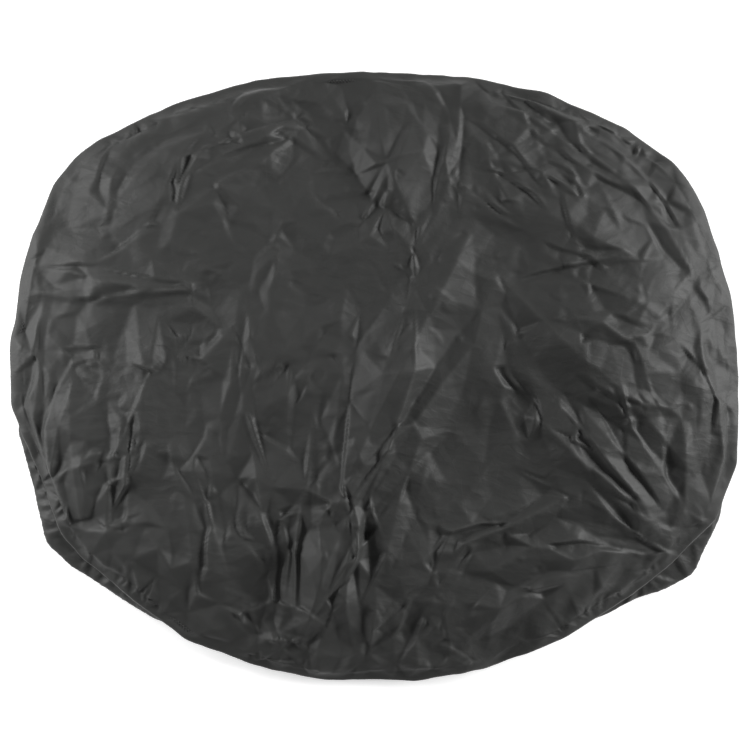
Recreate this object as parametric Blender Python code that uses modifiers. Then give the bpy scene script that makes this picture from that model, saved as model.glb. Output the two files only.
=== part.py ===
"""Spare tyre cover in thin woven cloth, lying loose and face up with its elastic mouth on the floor."""

import math

import bmesh
import bpy

# Every layer of cloth is one sheet; all lengths are in metres.
SHEET = 0.0016
CLEARANCE = 0.0004
THREAD_RADIUS = 0.0004
OUTLINE_POINTS = 80

# Seen from above the cover is a superellipse, fuller at the back than at the front.
HALF_LENGTH = 0.399
HALF_WIDTH = 0.3355
BACK_FULLNESS = 2.4
FRONT_FULLNESS = 2.0
# Where the loose cloth bulges out past it: (direction and spread in degrees, reach).
SHOULDERS = [
    (35, 7, 0.009),
    (145, 7, 0.013),
    (340, 9, 0.020),
]
# Two ears of the side band show past the face panel at the front: (direction, spread, reach).
EARS = [
    (208, 5, 0.022),
    (328, 5, 0.028),
]
# The face panel's seam runs just inside that outline, without the ears. The hem outline has no bulges.
SEAM_SCALE = 0.985

# The face panel from its middle to its seam: (share of the seam outline, height).
FACE_PROFILE = [
    (0.12, 0.0750),
    (0.36, 0.0732),
    (0.58, 0.0675),
    (0.76, 0.0580),
    (0.89, 0.0460),
    (0.96, 0.0350),
    (1.00, 0.0262),
]
# Both raw edges of the seam are turned inside by this share of the outline.
SEAM_TURN_SCALE = 0.972
SEAM_TURN_DROP = 0.0070
SEAM_LAYER_DROP = 0.0005

# The side band below the seam: (share of the cover outline, height of its outer skin),
# and then the same on the hem outline, which the elastic draws smooth.
BAND_PROFILE = [
    (1.000, 0.0170),
    (1.000, 0.0080),
    (0.985, 0.0010),
    (0.940, 0.0000),
]
BAND_HEM_PROFILE = [
    (0.800, 0.0000),
    (0.655, 0.0000),
]

# The hem casing around the mouth is a C open towards the band: (share, height of its outer skin).
CASING_PROFILE = [
    (0.640, 0.0000),
    (0.606, 0.0000),
    (0.600, 0.0020),
    (0.600, 0.0075),
    (0.606, 0.0095),
    (0.655, 0.0095),
]
ELASTIC_INNER_SCALE = 0.611
ELASTIC_OUTER_SCALE = 0.629
ELASTIC_BOTTOM = 0.0038
ELASTIC_THICKNESS = 0.0016
ELASTIC_JOIN_POINT = 0
TACK_POINTS = 9
TACK_LENGTH = 0.012

# The band's closing seam crosses its depth on the inside, at this point of the outline.
CLOSING_POINT = 22
CLOSING_START_SCALE = 0.68
CLOSING_END_SCALE = 0.95
CLOSING_POINTS = 12
OVERLOCK_OFFSET = 0.008
OVERLOCK_HALF_WIDTH = 0.0015


def radius_towards(angle, bulges):
    """How far the outline is from the middle in one direction, with some bulges added."""
    fullness = BACK_FULLNESS if math.sin(angle) > 0 else FRONT_FULLNESS
    along = abs(math.cos(angle) / HALF_LENGTH) ** fullness
    across = abs(math.sin(angle) / HALF_WIDTH) ** fullness
    radius = (along + across) ** (-1 / fullness)
    for direction, spread, reach in bulges:
        apart = (math.degrees(angle) - direction + 180) % 360 - 180
        radius += reach * math.exp(-0.5 * (apart / spread) ** 2)
    return radius


def outline_loop(bulges, scale):
    """The points of the outline, evenly turned round the middle."""
    points = []
    for index in range(OUTLINE_POINTS):
        angle = 2 * math.pi * index / OUTLINE_POINTS
        radius = radius_towards(angle, bulges) * scale
        points.append((radius * math.cos(angle), radius * math.sin(angle)))
    return points


def centred(points, guide):
    """The points moved so that the guide outline's box is centred on the origin."""
    shift_x = (min(p[0] for p in guide) + max(p[0] for p in guide)) / 2
    shift_y = (min(p[1] for p in guide) + max(p[1] for p in guide)) / 2
    return [(x - shift_x, y - shift_y) for x, y in points]


def ring(outline, scale, height):
    """The outline drawn in towards the middle and set at a height."""
    return [(x * scale, y * scale, height) for x, y in outline]


def new_material(name, colour, roughness, sheen):
    material = bpy.data.materials.new(name)
    material.use_nodes = True
    shader = material.node_tree.nodes["Principled BSDF"]
    shader.inputs["Base Color"].default_value = (*colour, 1.0)
    shader.inputs["Roughness"].default_value = roughness
    shader.inputs["Metallic"].default_value = 0.0
    shader.inputs["Sheen Weight"].default_value = sheen
    return material


def add_mesh(name, rings, material, cap_first=False, close_section=False):
    """A skin through successive rings, facing away from the inside of the cover."""
    mesh = bpy.data.meshes.new(name)
    shape = bmesh.new()
    rows = [[shape.verts.new(point) for point in points] for points in rings]
    count = len(rows[0])
    pairs = list(zip(rows, rows[1:]))
    if close_section:
        pairs.append((rows[-1], rows[0]))
    for first, second in pairs:
        for index in range(count):
            following = (index + 1) % count
            shape.faces.new((first[index], second[index], second[following], first[following]))
    if cap_first:
        shape.faces.new(rows[0])
    shape.normal_update()
    shape.to_mesh(mesh)
    shape.free()
    mesh.materials.append(material)
    sub_part = bpy.data.objects.new(name, mesh)
    parts.objects.link(sub_part)
    return sub_part


def add_cloth(name, rings, material, cap_first=False):
    """A sheet of cloth whose outer skin runs through the rings."""
    sub_part = add_mesh(name, rings, material, cap_first)
    sheet = sub_part.modifiers.new("sheet", "SOLIDIFY")
    sheet.thickness = SHEET
    sheet.offset = -1.0
    return sub_part


def add_thread(name, points, material, closed):
    """A sewing thread along the points."""
    curve = bpy.data.curves.new(name, "CURVE")
    curve.dimensions = "3D"
    spline = curve.splines.new("POLY")
    spline.points.add(len(points) - 1)
    for target, point in zip(spline.points, points):
        target.co = (*point, 1.0)
    spline.use_cyclic_u = closed
    curve.bevel_depth = THREAD_RADIUS
    curve.bevel_resolution = 1
    curve.use_fill_caps = not closed
    curve.materials.append(material)
    thread = bpy.data.objects.new(name, curve)
    parts.objects.link(thread)
    return thread


for leftover in list(bpy.data.objects):
    bpy.data.objects.remove(leftover, do_unlink=True)

parts = bpy.data.collections.new("spare_tire_cover")
bpy.context.scene.collection.children.link(parts)

cloth = new_material("coated_cloth", (0.045, 0.046, 0.044), 0.5, 0.2)
sewing_thread = new_material("sewing_thread", (0.030, 0.030, 0.030), 0.7, 0.0)
webbing = new_material("elastic_webbing", (0.035, 0.035, 0.035), 0.85, 0.0)

band_loop = outline_loop(SHOULDERS + EARS, 1.0)
seam_loop = outline_loop(SHOULDERS, SEAM_SCALE)
hem_loop = outline_loop([], 1.0)
seam_outline = centred(seam_loop, band_loop)
band_outline = centred(band_loop, band_loop)
hem_outline = centred(hem_loop, band_loop)

# Face panel: a low dome, turned inside along its seam.
seam_height = FACE_PROFILE[-1][1]
turn_height = seam_height - SEAM_TURN_DROP
face_rings = [ring(seam_outline, scale, height) for scale, height in FACE_PROFILE]
face_rings.append(ring(seam_outline, SEAM_TURN_SCALE, turn_height))
add_cloth("face_panel", face_rings, cloth, cap_first=True)

# Side band: turned inside along the same seam, out round the rim and in along the floor.
band_rings = [
    ring(seam_outline, SEAM_TURN_SCALE, turn_height - SEAM_LAYER_DROP),
    ring(seam_outline, 1.0, seam_height - SEAM_LAYER_DROP),
]
band_rings += [ring(band_outline, scale, height) for scale, height in BAND_PROFILE]
band_rings += [ring(hem_outline, scale, height) for scale, height in BAND_HEM_PROFILE]
add_cloth("side_band", band_rings, cloth)

# Hem casing and the elastic that runs right round inside it.
add_cloth("hem_casing", [ring(hem_outline, scale, height) for scale, height in CASING_PROFILE], cloth)
elastic_top = ELASTIC_BOTTOM + ELASTIC_THICKNESS
elastic_section = [
    (ELASTIC_OUTER_SCALE, ELASTIC_BOTTOM),
    (ELASTIC_INNER_SCALE, ELASTIC_BOTTOM),
    (ELASTIC_INNER_SCALE, elastic_top),
    (ELASTIC_OUTER_SCALE, elastic_top),
]
elastic_rings = [ring(hem_outline, scale, height) for scale, height in elastic_section]
add_mesh("hem_elastic", elastic_rings, webbing, close_section=True)

# The elastic's two ends are sewn over each other with a short zigzag.
thread_rise = CLEARANCE + THREAD_RADIUS
join_x, join_y = hem_outline[ELASTIC_JOIN_POINT]
join_middle = (ELASTIC_INNER_SCALE + ELASTIC_OUTER_SCALE) / 2
tack = []
for index in range(TACK_POINTS):
    side = 0.4 if index % 2 else -0.4
    scale = join_middle + side * (ELASTIC_OUTER_SCALE - ELASTIC_INNER_SCALE)
    along = TACK_LENGTH * (index / (TACK_POINTS - 1) - 0.5)
    tack.append((join_x * scale, join_y * scale + along, elastic_top + thread_rise))
add_thread("elastic_join_stitching", tack, sewing_thread, closed=False)

# The hem stitching closes the casing, on its upper leg.
casing_top = CASING_PROFILE[-1][1]
hem_stitch_scale = 0.646
add_thread(
    "hem_stitching",
    ring(hem_outline, hem_stitch_scale, casing_top + thread_rise),
    sewing_thread,
    closed=True,
)

# Seam thread under the turned edges, and an overlock over their raw ends.
stitch_scale = 0.984
stitch_height = seam_height - SEAM_TURN_DROP * (1 - stitch_scale) / (1 - SEAM_TURN_SCALE)
sheet_drop = SHEET * 1.35
stitch_ring = ring(seam_outline, stitch_scale, stitch_height - SEAM_LAYER_DROP - sheet_drop - thread_rise)
add_thread("face_seam_stitching", stitch_ring, sewing_thread, closed=True)
overlock_scale = 0.966
overlock = []
for index, (x, y) in enumerate(seam_outline):
    wave = OVERLOCK_HALF_WIDTH if index % 2 else -OVERLOCK_HALF_WIDTH
    overlock.append((x * overlock_scale, y * overlock_scale, turn_height - SHEET / 2 + wave))
add_thread("face_seam_overlock", overlock, sewing_thread, closed=True)

# The band's two ends are closed by a straight seam and its own overlock, inside the cover.
close_x, close_y = hem_outline[CLOSING_POINT]
close_length = math.hypot(close_x, close_y)
aside = (-close_y / close_length, close_x / close_length)
inner_skin = SHEET + thread_rise
seam_line = []
overlock_line = []
for index in range(CLOSING_POINTS):
    share = index / (CLOSING_POINTS - 1)
    scale = CLOSING_START_SCALE + share * (CLOSING_END_SCALE - CLOSING_START_SCALE)
    wave = OVERLOCK_OFFSET + (OVERLOCK_HALF_WIDTH if index % 2 else -OVERLOCK_HALF_WIDTH)
    seam_line.append((close_x * scale, close_y * scale, inner_skin))
    overlock_line.append((close_x * scale + aside[0] * wave, close_y * scale + aside[1] * wave, inner_skin))
add_thread("band_seam_stitching", seam_line, sewing_thread, closed=False)
add_thread("band_seam_overlock", overlock_line, sewing_thread, closed=False)
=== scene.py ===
"""Looks of the spare tyre cover: creased, coated cloth lying loose on a pale floor."""

import math
from collections import namedtuple

import bpy
import numpy as np
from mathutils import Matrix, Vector
from mathutils.bvhtree import BVHTree
from mathutils.geometry import delaunay_2d_cdt


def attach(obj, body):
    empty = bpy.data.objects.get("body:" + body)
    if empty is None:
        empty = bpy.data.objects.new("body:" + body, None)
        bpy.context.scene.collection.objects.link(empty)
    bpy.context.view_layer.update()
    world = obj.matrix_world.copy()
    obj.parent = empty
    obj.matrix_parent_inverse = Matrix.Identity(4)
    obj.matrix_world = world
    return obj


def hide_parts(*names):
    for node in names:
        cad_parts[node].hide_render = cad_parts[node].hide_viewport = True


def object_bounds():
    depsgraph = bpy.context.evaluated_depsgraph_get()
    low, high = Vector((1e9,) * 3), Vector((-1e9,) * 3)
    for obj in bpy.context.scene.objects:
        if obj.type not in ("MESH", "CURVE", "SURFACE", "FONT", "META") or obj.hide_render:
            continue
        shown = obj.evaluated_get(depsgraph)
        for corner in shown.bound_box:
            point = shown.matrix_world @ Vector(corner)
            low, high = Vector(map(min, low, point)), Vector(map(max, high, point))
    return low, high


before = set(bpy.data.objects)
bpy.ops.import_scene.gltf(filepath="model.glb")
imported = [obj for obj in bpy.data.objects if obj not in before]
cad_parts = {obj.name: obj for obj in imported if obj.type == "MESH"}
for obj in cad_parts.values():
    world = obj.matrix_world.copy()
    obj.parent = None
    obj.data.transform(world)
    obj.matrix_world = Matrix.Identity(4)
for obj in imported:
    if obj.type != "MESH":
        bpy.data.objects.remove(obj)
cad_box = [list(corner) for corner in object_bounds()]
cover_sides = np.subtract(cad_box[1], cad_box[0])[:2]
cover_height = cad_box[1][2]

# The lists of folds and the cloth's section below are for a cover of this length, width and height
# in metres, and are scaled to the one in the frame.
LISTED_SIDES = np.array([0.8008, 0.6710])
LISTED_HEIGHT = 0.075

# The broadest folds: the line of the crest in metres, its height in millimetres (below 0 for a
# hollow), and how far its left and right slopes reach in millimetres.
BROAD_FOLDS = [
    ("middle ridge", [(0.10, 0.15), (0.04, 0.03), (-0.02, -0.09), (-0.06, -0.20)], 18, 70, 55),
    ("right ridge", [(0.14, 0.10), (0.20, 0.04), (0.27, -0.02), (0.34, -0.10)], 17, 150, 42),
    ("lower right ridge", [(0.15, -0.03), (0.22, -0.09), (0.32, -0.18)], 11, 80, 45),
    ("right rim ridge", [(0.33, 0.12), (0.36, 0.02), (0.36, -0.10)], 6, 30, 60),
    ("bottom right roll", [(0.08, -0.27), (0.18, -0.23), (0.27, -0.16)], 8, 60, 50),
    ("pouch ridge", [(-0.01, -0.12), (-0.05, -0.20), (-0.08, -0.29)], 15, 60, 35),
    ("pouch hollow", [(-0.09, -0.18), (-0.12, -0.25), (-0.13, -0.29)], -14, 50, 50),
    ("bottom hollow", [(0.02, -0.25), (0.05, -0.29)], -8, 60, 60),
    ("left tall ridge", [(-0.26, 0.08), (-0.25, -0.03), (-0.27, -0.14)], 9, 70, 40),
    ("left outer ridge", [(-0.33, 0.00), (-0.33, -0.08), (-0.32, -0.16)], 8, 50, 35),
    ("left shelf", [(-0.37, 0.09), (-0.28, 0.10), (-0.18, 0.09)], 6, 60, 25),
    ("top hollow", [(-0.12, 0.30), (-0.07, 0.27), (-0.02, 0.22)], -11, 65, 60),
    ("top slope", [(0.00, 0.31), (0.01, 0.24), (0.04, 0.17)], 13, 90, 35),
    ("upper left ridge", [(-0.12, 0.24), (-0.20, 0.21), (-0.30, 0.15)], 7, 70, 60),
    ("upper right ridge", [(0.12, 0.20), (0.20, 0.17), (0.30, 0.12)], 8, 70, 50),
    ("middle left ridge", [(-0.10, 0.12), (-0.13, 0.01), (-0.16, -0.10)], 7, 80, 70),
]
# Folds come in groups that run side by side: where the group starts and ends in metres, how many
# crests it has, how wide it is at each end, how high its crests stand in millimetres (below 0 for
# hollows), how far it bows to its left, and which side of its crests is the steep one (1 is left).
Group = namedtuple("Group", "name start end crests wide_start wide_end height bow steep")
FOLD_GROUPS = [
    Group("left uprights", (-0.30, 0.02), (-0.31, -0.17), 5, 0.12, 0.11, 10, -0.01, 1),
    Group("left arch", (-0.35, -0.03), (-0.27, -0.02), 1, 0.03, 0.03, 7, 0.04, 1),
    Group("left tall strip", (-0.26, 0.08), (-0.26, -0.12), 1, 0.03, 0.03, 8, 0.01, 1),
    Group("left square crease", (-0.36, 0.02), (-0.28, 0.02), 2, 0.06, 0.04, 4, 0.00, -1),
    Group("left crumple", (-0.37, 0.10), (-0.18, 0.10), 4, 0.03, 0.04, 5, 0.00, -1),
    Group("upper left slants", (-0.18, 0.27), (-0.26, 0.16), 3, 0.04, 0.11, 6, 0.00, 1),
    Group("upper left corner", (-0.28, 0.26), (-0.31, 0.18), 2, 0.05, 0.07, 6, 0.00, 1),
    Group("upper left diagonals", (-0.08, 0.29), (-0.27, 0.19), 3, 0.04, 0.08, 5, 0.00, -1),
    Group("top hollow", (-0.11, 0.30), (-0.02, 0.24), 3, 0.04, 0.09, -6, 0.00, 1),
    Group("top fan", (0.08, 0.31), (0.02, 0.14), 4, 0.04, 0.15, 6, 0.01, -1),
    Group("top right slopes", (0.12, 0.30), (0.26, 0.20), 3, 0.06, 0.08, 5, 0.01, -1),
    Group("upper right rim", (0.22, 0.26), (0.36, 0.11), 3, 0.05, 0.05, 5, 0.02, 1),
    Group("upper right star", (0.17, 0.16), (0.26, 0.11), 3, 0.02, 0.08, 6, 0.00, 1),
    Group("upper right star back", (0.17, 0.16), (0.10, 0.22), 3, 0.02, 0.08, 5, 0.00, -1),
    Group("right shoulder", (0.15, 0.10), (0.34, 0.04), 3, 0.06, 0.14, 8, 0.02, -1),
    Group("right uprights", (0.34, 0.07), (0.36, -0.15), 3, 0.06, 0.05, 6, 0.01, 1),
    Group("right fan", (0.34, -0.19), (0.20, -0.01), 6, 0.04, 0.22, 8, -0.01, 1),
    Group("lower right rim", (0.31, -0.20), (0.09, -0.27), 4, 0.03, 0.09, 7, -0.03, -1),
    Group("lower right inner", (0.24, -0.13), (0.06, -0.23), 3, 0.05, 0.08, 6, -0.03, -1),
    Group("middle right dip", (0.13, 0.05), (0.19, -0.09), 2, 0.06, 0.09, -7, 0.00, 1),
    Group("middle ridge", (0.09, 0.13), (-0.04, -0.16), 3, 0.13, 0.08, 6, 0.01, -1),
    Group("middle left folds", (-0.12, 0.10), (-0.14, -0.10), 3, 0.12, 0.14, 3, 0.00, 1),
    Group("pouch fan", (-0.07, -0.27), (-0.05, -0.05), 7, 0.06, 0.26, 9, 0.00, 1),
    Group("pouch valley", (-0.02, -0.12), (-0.07, -0.23), 1, 0.05, 0.05, -13, 0.02, 1),
    Group("pouch rim", (-0.17, -0.28), (-0.05, -0.30), 2, 0.04, 0.05, 9, 0.03, -1),
    Group("bottom folds", (-0.01, -0.32), (0.01, -0.22), 4, 0.10, 0.12, 7, 0.00, 1),
    Group("lower left slants", (-0.20, -0.10), (-0.17, -0.24), 4, 0.14, 0.10, 6, 0.00, 1),
    Group("left ear folds", (-0.34, -0.18), (-0.24, -0.13), 3, 0.02, 0.09, 5, 0.00, 1),
    Group("left rim roll", (-0.375, 0.10), (-0.365, -0.12), 1, 0.03, 0.03, 4, -0.01, 1),
]
# Broad swells under the cloth: place, spread and height in millimetres.
SWELLS = [
    (0.30, 0.02, 0.09, 5),
    (-0.02, 0.02, 0.10, 6),
    (-0.26, 0.02, 0.07, -4),
    (-0.15, -0.02, 0.07, -5),
    (0.11, -0.06, 0.06, -9),
    (-0.05, 0.24, 0.05, -6),
]
# Places where the cloth lies smoother: place and spread.
CALM = [(-0.16, -0.02, 0.07), (0.23, 0.20, 0.05), (0.10, -0.08, 0.05)]

# How a crest rises and falls from one end to the other.
CREST_SHAPES = [(0.05, 0.9, 1.0, 0.1), (0.7, 1.0, 0.6, 0.1), (0.1, 0.5, 0.9, 0.8), (0.1, 1.0, 0.4, 0.7)]
# Share of the creases that fork.
BRANCHING = 0.45
# A crest stands about as high as this share of the space that its group leaves for it.
STEEPEST = 0.26
# Shorter creases all over and small kinks, and how far the direction of each group carries.
LOOSE_CREASES = 150
KINKS = 220
FLOW_REACH = 0.08
# Between the folds the cloth lies in flat facets: how far apart their corners are, in metres, how
# far those stand up or down, in millimetres, and how many places are tried for them.
FACET_GAP = 0.026
FACET_HEIGHT = 4.8
FACET_TRIES = 1400
# No crease runs past this share of the rim, and the facets are level at these shares.
CREASES_END = 0.965
LEVEL_RIMS = (0.995, 1.15)
RIM_POINTS = 60
# The share of a broad fold or kink over which it dies out at each end.
FOLD_ENDS = 0.4
# How far apart the folds across an ear are, as an angle, and how wide an ear is before it has any.
EAR_FOLD_GAP = 0.045
FOLDED_EAR = 0.006
# Facets are read at these four places round each point, which softens their creases a little.
READ_AROUND = ((0.0006, 0.0003), (-0.0003, 0.0006), (-0.0006, -0.0003), (0.0003, -0.0006))
FOLD_SEED, SCATTER_SEED, KINK_SEED, EAR_SEED = 5, 77, 41, 61


# ---------------------------------------------------------------- shape helpers
def on_cover(places):
    """Listed places, scaled to the cover in the frame."""
    return np.array(places, float) * (cover_sides / LISTED_SIDES)


def place_on_cover(rng, share):
    """A random place in the middle share of the cover's box."""
    return rng.uniform(-0.5, 0.5, 2) * cover_sides * share


def smoothstep(low, high, value):
    t = np.clip((value - low) / (high - low), 0.0, 1.0)
    return t * t * (3 - 2 * t)


def running_total(steps):
    """How far along a line each of its points is, from the steps between them."""
    return np.concatenate([[0], np.cumsum(steps)])


def seen_outline(node, directions=80):
    """Corners of a CAD piece's outline seen from above, one in each direction."""
    points = np.array([vert.co[:2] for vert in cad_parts[node].data.vertices])
    angle = np.arctan2(points[:, 1], points[:, 0])
    reach = np.hypot(*points.T)
    slot = np.round(angle / (2 * math.pi) * directions).astype(int) % directions
    return [points[slot == k][reach[slot == k].argmax()] for k in range(directions)]


def straight_runs(corners, play):
    """Which corners to keep, so that straight runs between them stay within some play of an outline."""
    kept = [0]
    while kept[-1] < len(corners):
        last = kept[-1]
        after = last + 1
        while after < len(corners):
            ahead = corners[(after + 1) % len(corners)] - corners[last]
            aside = np.array([-ahead[1], ahead[0]]) / np.hypot(*ahead)
            between = np.array([corners[k] for k in range(last + 1, after + 1)])
            if np.abs((between - corners[last]) @ aside).max() > play:
                break
            after += 1
        kept.append(after)
    return kept[:-1]


def polar_outline(corners, soft):
    """Radius of a closed outline by angle, with its corners softened over a length."""
    points = np.array([*corners, corners[0]])
    along = running_total(np.hypot(*np.diff(points, axis=0).T))
    count = 2400
    even = np.linspace(0, along[-1], count, endpoint=False)
    x = np.interp(even, along, points[:, 0])
    y = np.interp(even, along, points[:, 1])
    reach = int(3 * soft / (along[-1] / count)) + 1
    kernel = np.exp(-0.5 * (np.arange(-reach, reach + 1) * (along[-1] / count) / soft) ** 2)
    kernel /= kernel.sum()
    x = np.convolve(np.concatenate([x[-reach:], x, x[:reach]]), kernel, "valid")
    y = np.convolve(np.concatenate([y[-reach:], y, y[:reach]]), kernel, "valid")
    angle = np.unwrap(np.arctan2(y, x))
    angle = np.maximum.accumulate(angle)
    radius = np.hypot(x, y)
    return angle, radius


def radius_at(outline, theta):
    """How far an outline is from the middle in given directions."""
    angle, radius = outline
    turn = 2 * math.pi
    tiled_angle = np.concatenate([angle - turn, angle, angle + turn])
    tiled_radius = np.tile(radius, 3)
    return np.interp(theta, tiled_angle, tiled_radius)


def curve_through(points, per_span=6):
    """A smooth open curve through a few points."""
    p = np.array(points, float)
    p = np.vstack([2 * p[0] - p[1], p, 2 * p[-1] - p[-2]])
    out = []
    for i in range(1, len(p) - 2):
        t = np.linspace(0, 1, per_span, endpoint=False)[:, None]
        a, b, c, d = p[i - 1], p[i], p[i + 1], p[i + 2]
        square, cube = 2 * a - 5 * b + 4 * c - d, 3 * b - a - 3 * c + d
        out.append(0.5 * (2 * b + (c - a) * t + square * t**2 + cube * t**3))
    out.append(p[-2][None, :])
    return np.vstack(out)


def fold_parts(x, y, points, height, left, right):
    """Points near one fold, and its height there: a crest along the points with plane sides."""
    path = curve_through(points)
    reach = 1.1 * max(left, right)
    low = path.min(axis=0) - reach
    high = path.max(axis=0) + reach
    near = np.flatnonzero((x > low[0]) & (x < high[0]) & (y > low[1]) & (y < high[1]))
    if len(near) == 0:
        return near, None
    px, py = x[near], y[near]
    best = np.full(len(near), 1e9)
    side = np.zeros(len(near))
    along = np.zeros(len(near))
    lengths = np.hypot(*np.diff(path, axis=0).T)
    total = lengths.sum()
    start = 0.0
    for (ax, ay), (bx, by), length in zip(path, path[1:], lengths):
        dx, dy = (bx - ax) / length, (by - ay) / length
        t = np.clip((px - ax) * dx + (py - ay) * dy, 0, length)
        ex, ey = px - ax - dx * t, py - ay - dy * t
        d = np.hypot(ex, ey)
        closer = d < best
        best[closer] = d[closer]
        side[closer] = (dx * ey - dy * ex)[closer]
        along[closer] = ((start + t) / total)[closer]
        start += length
    width = np.where(side > 0, left, right)
    taper = np.minimum(np.minimum(along, 1 - along) / FOLD_ENDS, 1)
    taper = 0.1 + 0.9 * taper * (1.5 - 0.5 * taper)
    return near, abs(height) * (taper - best / width)


def add_folds(z, x, y, folds):
    """Adds many folds. Where they run into each other the larger one wins, so they meet in creases."""
    up = np.zeros(len(x))
    down = np.zeros(len(x))
    for name, points, height, left, right in folds:
        near, lift = fold_parts(x, y, points, height * 0.001, left * 0.001, right * 0.001)
        if len(near):
            target = up if height > 0 else down
            target[near] = np.maximum(target[near], lift)
    z += up - down


def crease(middle_line, height, side, rng):
    """One sharp crest, dying out at both ends, with a groove along its steep side."""
    run = middle_line[-1] - middle_line[0]
    aside = np.array([-run[1], run[0]]) / np.hypot(*run)
    crest = height * np.array(CREST_SHAPES[rng.integers(len(CREST_SHAPES))]) * rng.uniform(0.75, 1.15, 4)
    folds = [list(zip(*middle_line.T, crest))]
    gap = 0.001 * abs(height) * rng.uniform(1.5, 3.4)
    groove = middle_line[:3] + aside * side * gap * rng.uniform(0.5, 1.5, 3)[:, None]
    groove += (middle_line[3] - middle_line[2]) * rng.uniform(-0.5, 1.0)
    folds.append(list(zip(*groove.T, -0.5 * height * rng.uniform(0.2, 1.2, 3))))
    if rng.uniform() < BRANCHING:
        fork = middle_line[rng.integers(1, 3)]
        turn = math.atan2(run[1], run[0]) + rng.choice((-1, 1)) * rng.uniform(0.4, 1.0)
        tip = fork + np.hypot(*run) * rng.uniform(0.25, 0.5) * np.array([math.cos(turn), math.sin(turn)])
        folds.append([(*fork, height), (*((fork + tip) / 2), 0.6 * height), (*tip, 0.0)])
    return folds


def group_folds(group, rng):
    """The creases of one group, scattered over its width and length."""
    start, end = on_cover(group.start), on_cover(group.end)
    run = end - start
    aside = np.array([-run[1], run[0]]) / np.hypot(*run)
    folds = []
    for number in range(group.crests):
        length = rng.uniform(0.40, 0.95) if group.crests > 1 else 0.95
        pace = rng.uniform(0.0, 1 - length) + length * np.linspace(0, 1, 4)
        wide = (1 - pace) * group.wide_start + pace * group.wide_end
        place = (number + rng.uniform(0.0, 1.0)) / group.crests - 0.5
        offset = place * wide + group.bow * np.sin(math.pi * pace)
        path = start + run * pace[:, None] + aside * offset[:, None]
        size = length * np.hypot(*run)
        tilt = rng.normal(0, 0.11)
        path += aside * (tilt * size * np.linspace(-0.5, 0.5, 4) + rng.normal(0, 0.035, 4) * size)[:, None]
        high = group.height * rng.uniform(0.55, 1.15) * min(1.2, math.sqrt(size / 0.11))
        limit = 1000 * STEEPEST * wide.mean() / group.crests + 2.0
        side = group.steep if rng.uniform() < 0.8 else -group.steep
        folds += crease(path, float(np.clip(high, -limit, limit)), side, rng)
    return folds


def flow_at(place):
    """Which way the creases run near a place, as an angle, from the groups around it."""
    doubled = 0
    for group in FOLD_GROUPS:
        start, end = on_cover(group.start), on_cover(group.end)
        run = end - start
        near = math.exp(-((place - (start + end) / 2) ** 2).sum() / (2 * FLOW_REACH**2))
        doubled += (near + 1e-6) * np.exp(2j * math.atan2(run[1], run[0]))
    return float(np.angle(doubled)) / 2


def loose_folds(rng):
    """Shorter creases all over, which roughly follow the groups near them."""
    folds = []
    for number in range(LOOSE_CREASES):
        place = place_on_cover(rng, 0.95)
        turn = flow_at(place) + rng.normal(0, 0.6)
        ahead = np.array([math.cos(turn), math.sin(turn)])
        size = rng.uniform(0.030, 0.095)
        line = place + ahead * size * np.linspace(-0.5, 0.5, 4)[:, None] + rng.normal(0, 0.05 * size, (4, 2))
        folds += crease(line, rng.choice((1, 1, -1)) * size * rng.uniform(28, 55), rng.choice((-1, 1)), rng)
    return folds


def all_folds(outline):
    """Every crease as points with heights in millimetres, kept inside the rim."""
    rng = np.random.default_rng(FOLD_SEED)
    folds = [path for group in FOLD_GROUPS for path in group_folds(group, rng)]
    folds += loose_folds(rng)
    inside = []
    for path in folds:
        kept = []
        for px, py, high in path:
            edge = float(radius_at(outline, math.atan2(py, px)))
            pull = min(1.0, CREASES_END * edge / math.hypot(px, py))
            kept.append((px * pull, py * pull, high))
        inside.append(kept)
    return inside


def nearest_on(place, starts, ends):
    """Where each segment comes nearest to a place, as a share of its length, and how near."""
    run = ends - starts
    share = np.clip(((place - starts) * run).sum(axis=1) / (run**2).sum(axis=1), 0, 1)
    return share, np.hypot(*(starts + run * share[:, None] - place).T)


def heights_under(tree, x, y, start):
    """Height of a surface straight below each point, from a starting height, or 0 beside it."""
    down = Vector((0, 0, -1))
    out = np.zeros(len(x))
    for index, (px, py) in enumerate(zip(x.tolist(), y.tolist())):
        hit = tree.ray_cast(Vector((px, py, start)), down)[0]
        if hit is not None:
            out[index] = hit.z
    return out


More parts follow.
